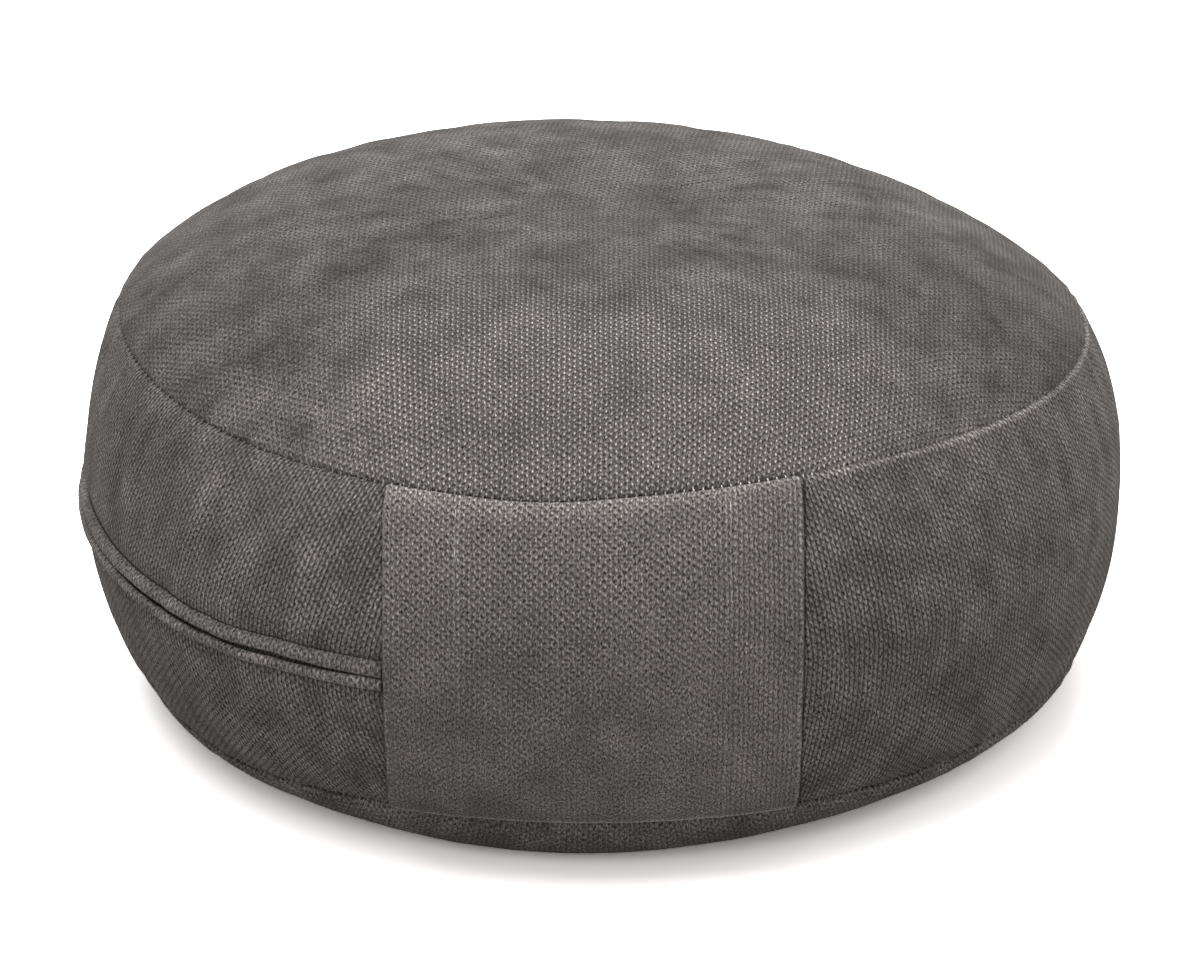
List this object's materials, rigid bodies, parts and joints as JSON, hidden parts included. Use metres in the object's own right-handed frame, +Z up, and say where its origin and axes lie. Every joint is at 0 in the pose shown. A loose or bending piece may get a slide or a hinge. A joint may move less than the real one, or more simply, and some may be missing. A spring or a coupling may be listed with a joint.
{
  "type": "zafu meditation cushion",
  "caption": "Round filled floor cushion with a crowned top, bulging side band, flat base, a wide sewn-on carrying handle and a covered zip placket.",
  "frame": {"origin": "middle of the flat base, on the surface that the cushion rests on", "axes": "+Z up through the crown; the handle faces -Y; the zip placket runs from the handle round the -X side"},
  "size_m": [0.3309, 0.3327, 0.1525],
  "materials": {
    "body_cloth": "taupe-grey chenille-like upholstery cloth with a soft mottled nap",
    "handle_cloth": "the same taupe-grey cloth, folded double and topstitched",
    "placket_cloth": "the same taupe-grey cloth, folded"
  },
  "bodies": {
    "root": {"cushion": "body_cloth", "handle": "handle_cloth", "zip_flap": "placket_cloth", "zip_welt": "placket_cloth"}
  },
  "joints": []
}
